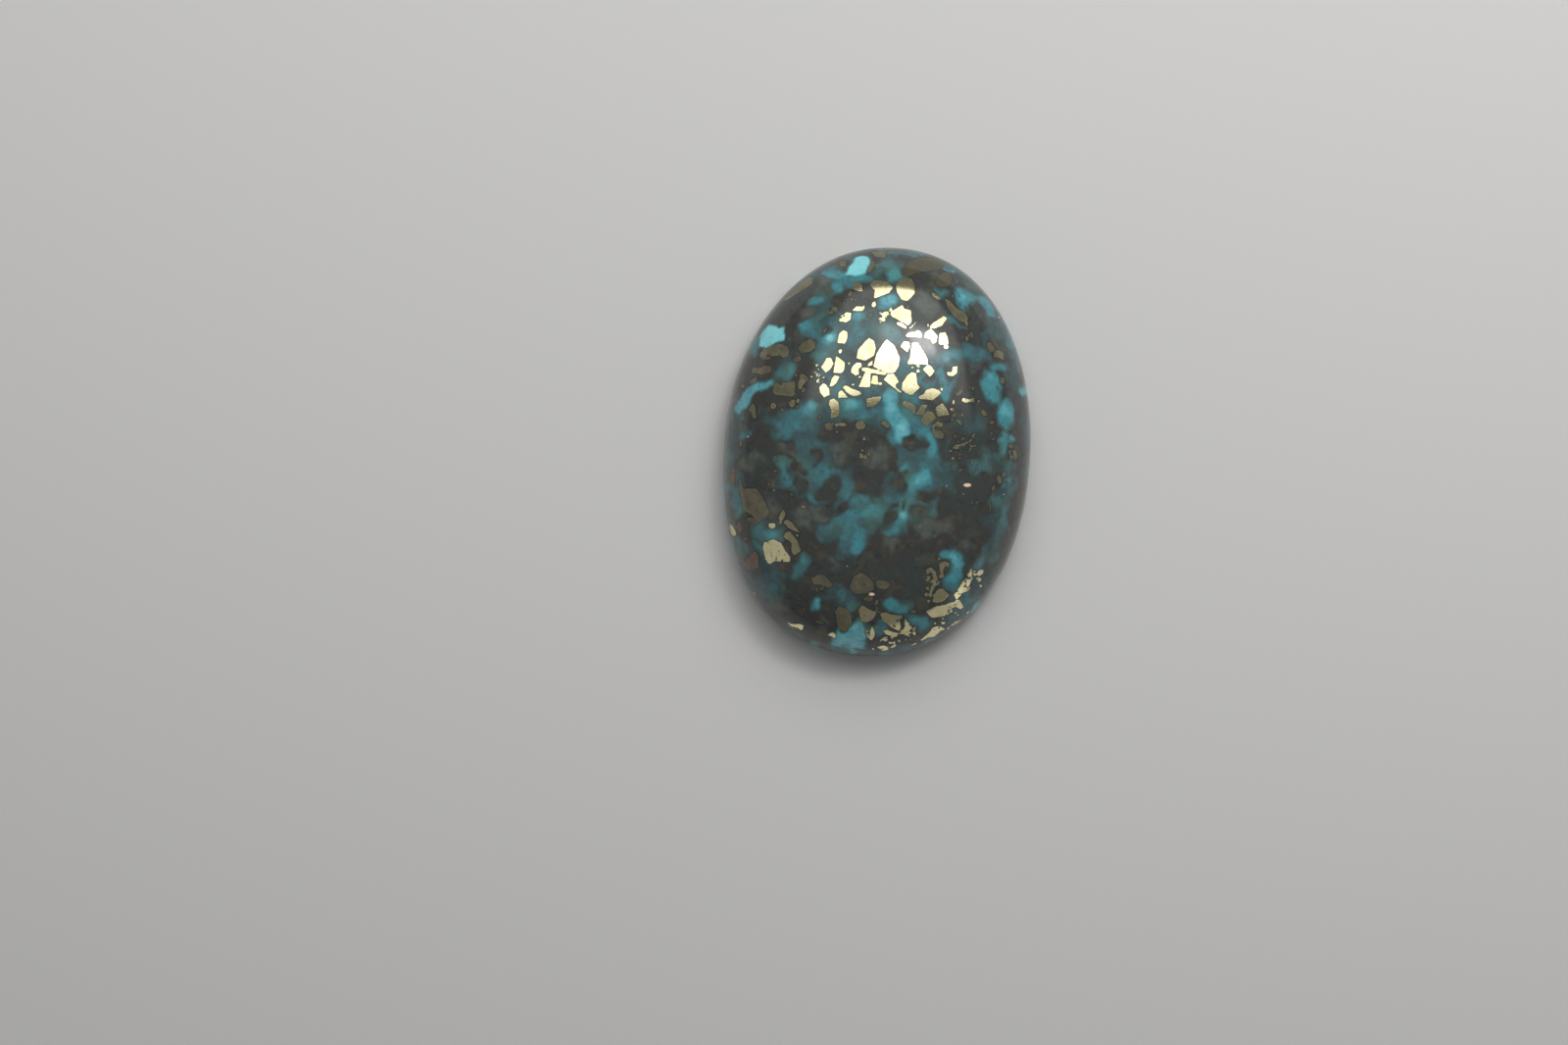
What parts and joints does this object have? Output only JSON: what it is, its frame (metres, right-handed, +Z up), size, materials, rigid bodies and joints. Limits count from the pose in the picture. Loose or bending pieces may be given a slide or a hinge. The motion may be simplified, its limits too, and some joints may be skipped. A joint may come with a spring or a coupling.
{
  "type": "turquoise cabochon",
  "caption": "Loose oval turquoise stone with a high polished dome and a flat back, blue-green patches and golden pyrite flecks in dark matrix.",
  "frame": {"origin": "centre of the stone's flat back, which is the bottom centre of its box", "axes": "+Z up through the dome, +Y along the stone's long axis towards the end that is uppermost in the picture, +X across it"},
  "size_m": [0.0284, 0.038, 0.01],
  "materials": {
    "polished_turquoise": "polished"
  },
  "bodies": {
    "root": {"turquoise_stone": "polished_turquoise"}
  },
  "joints": []
}
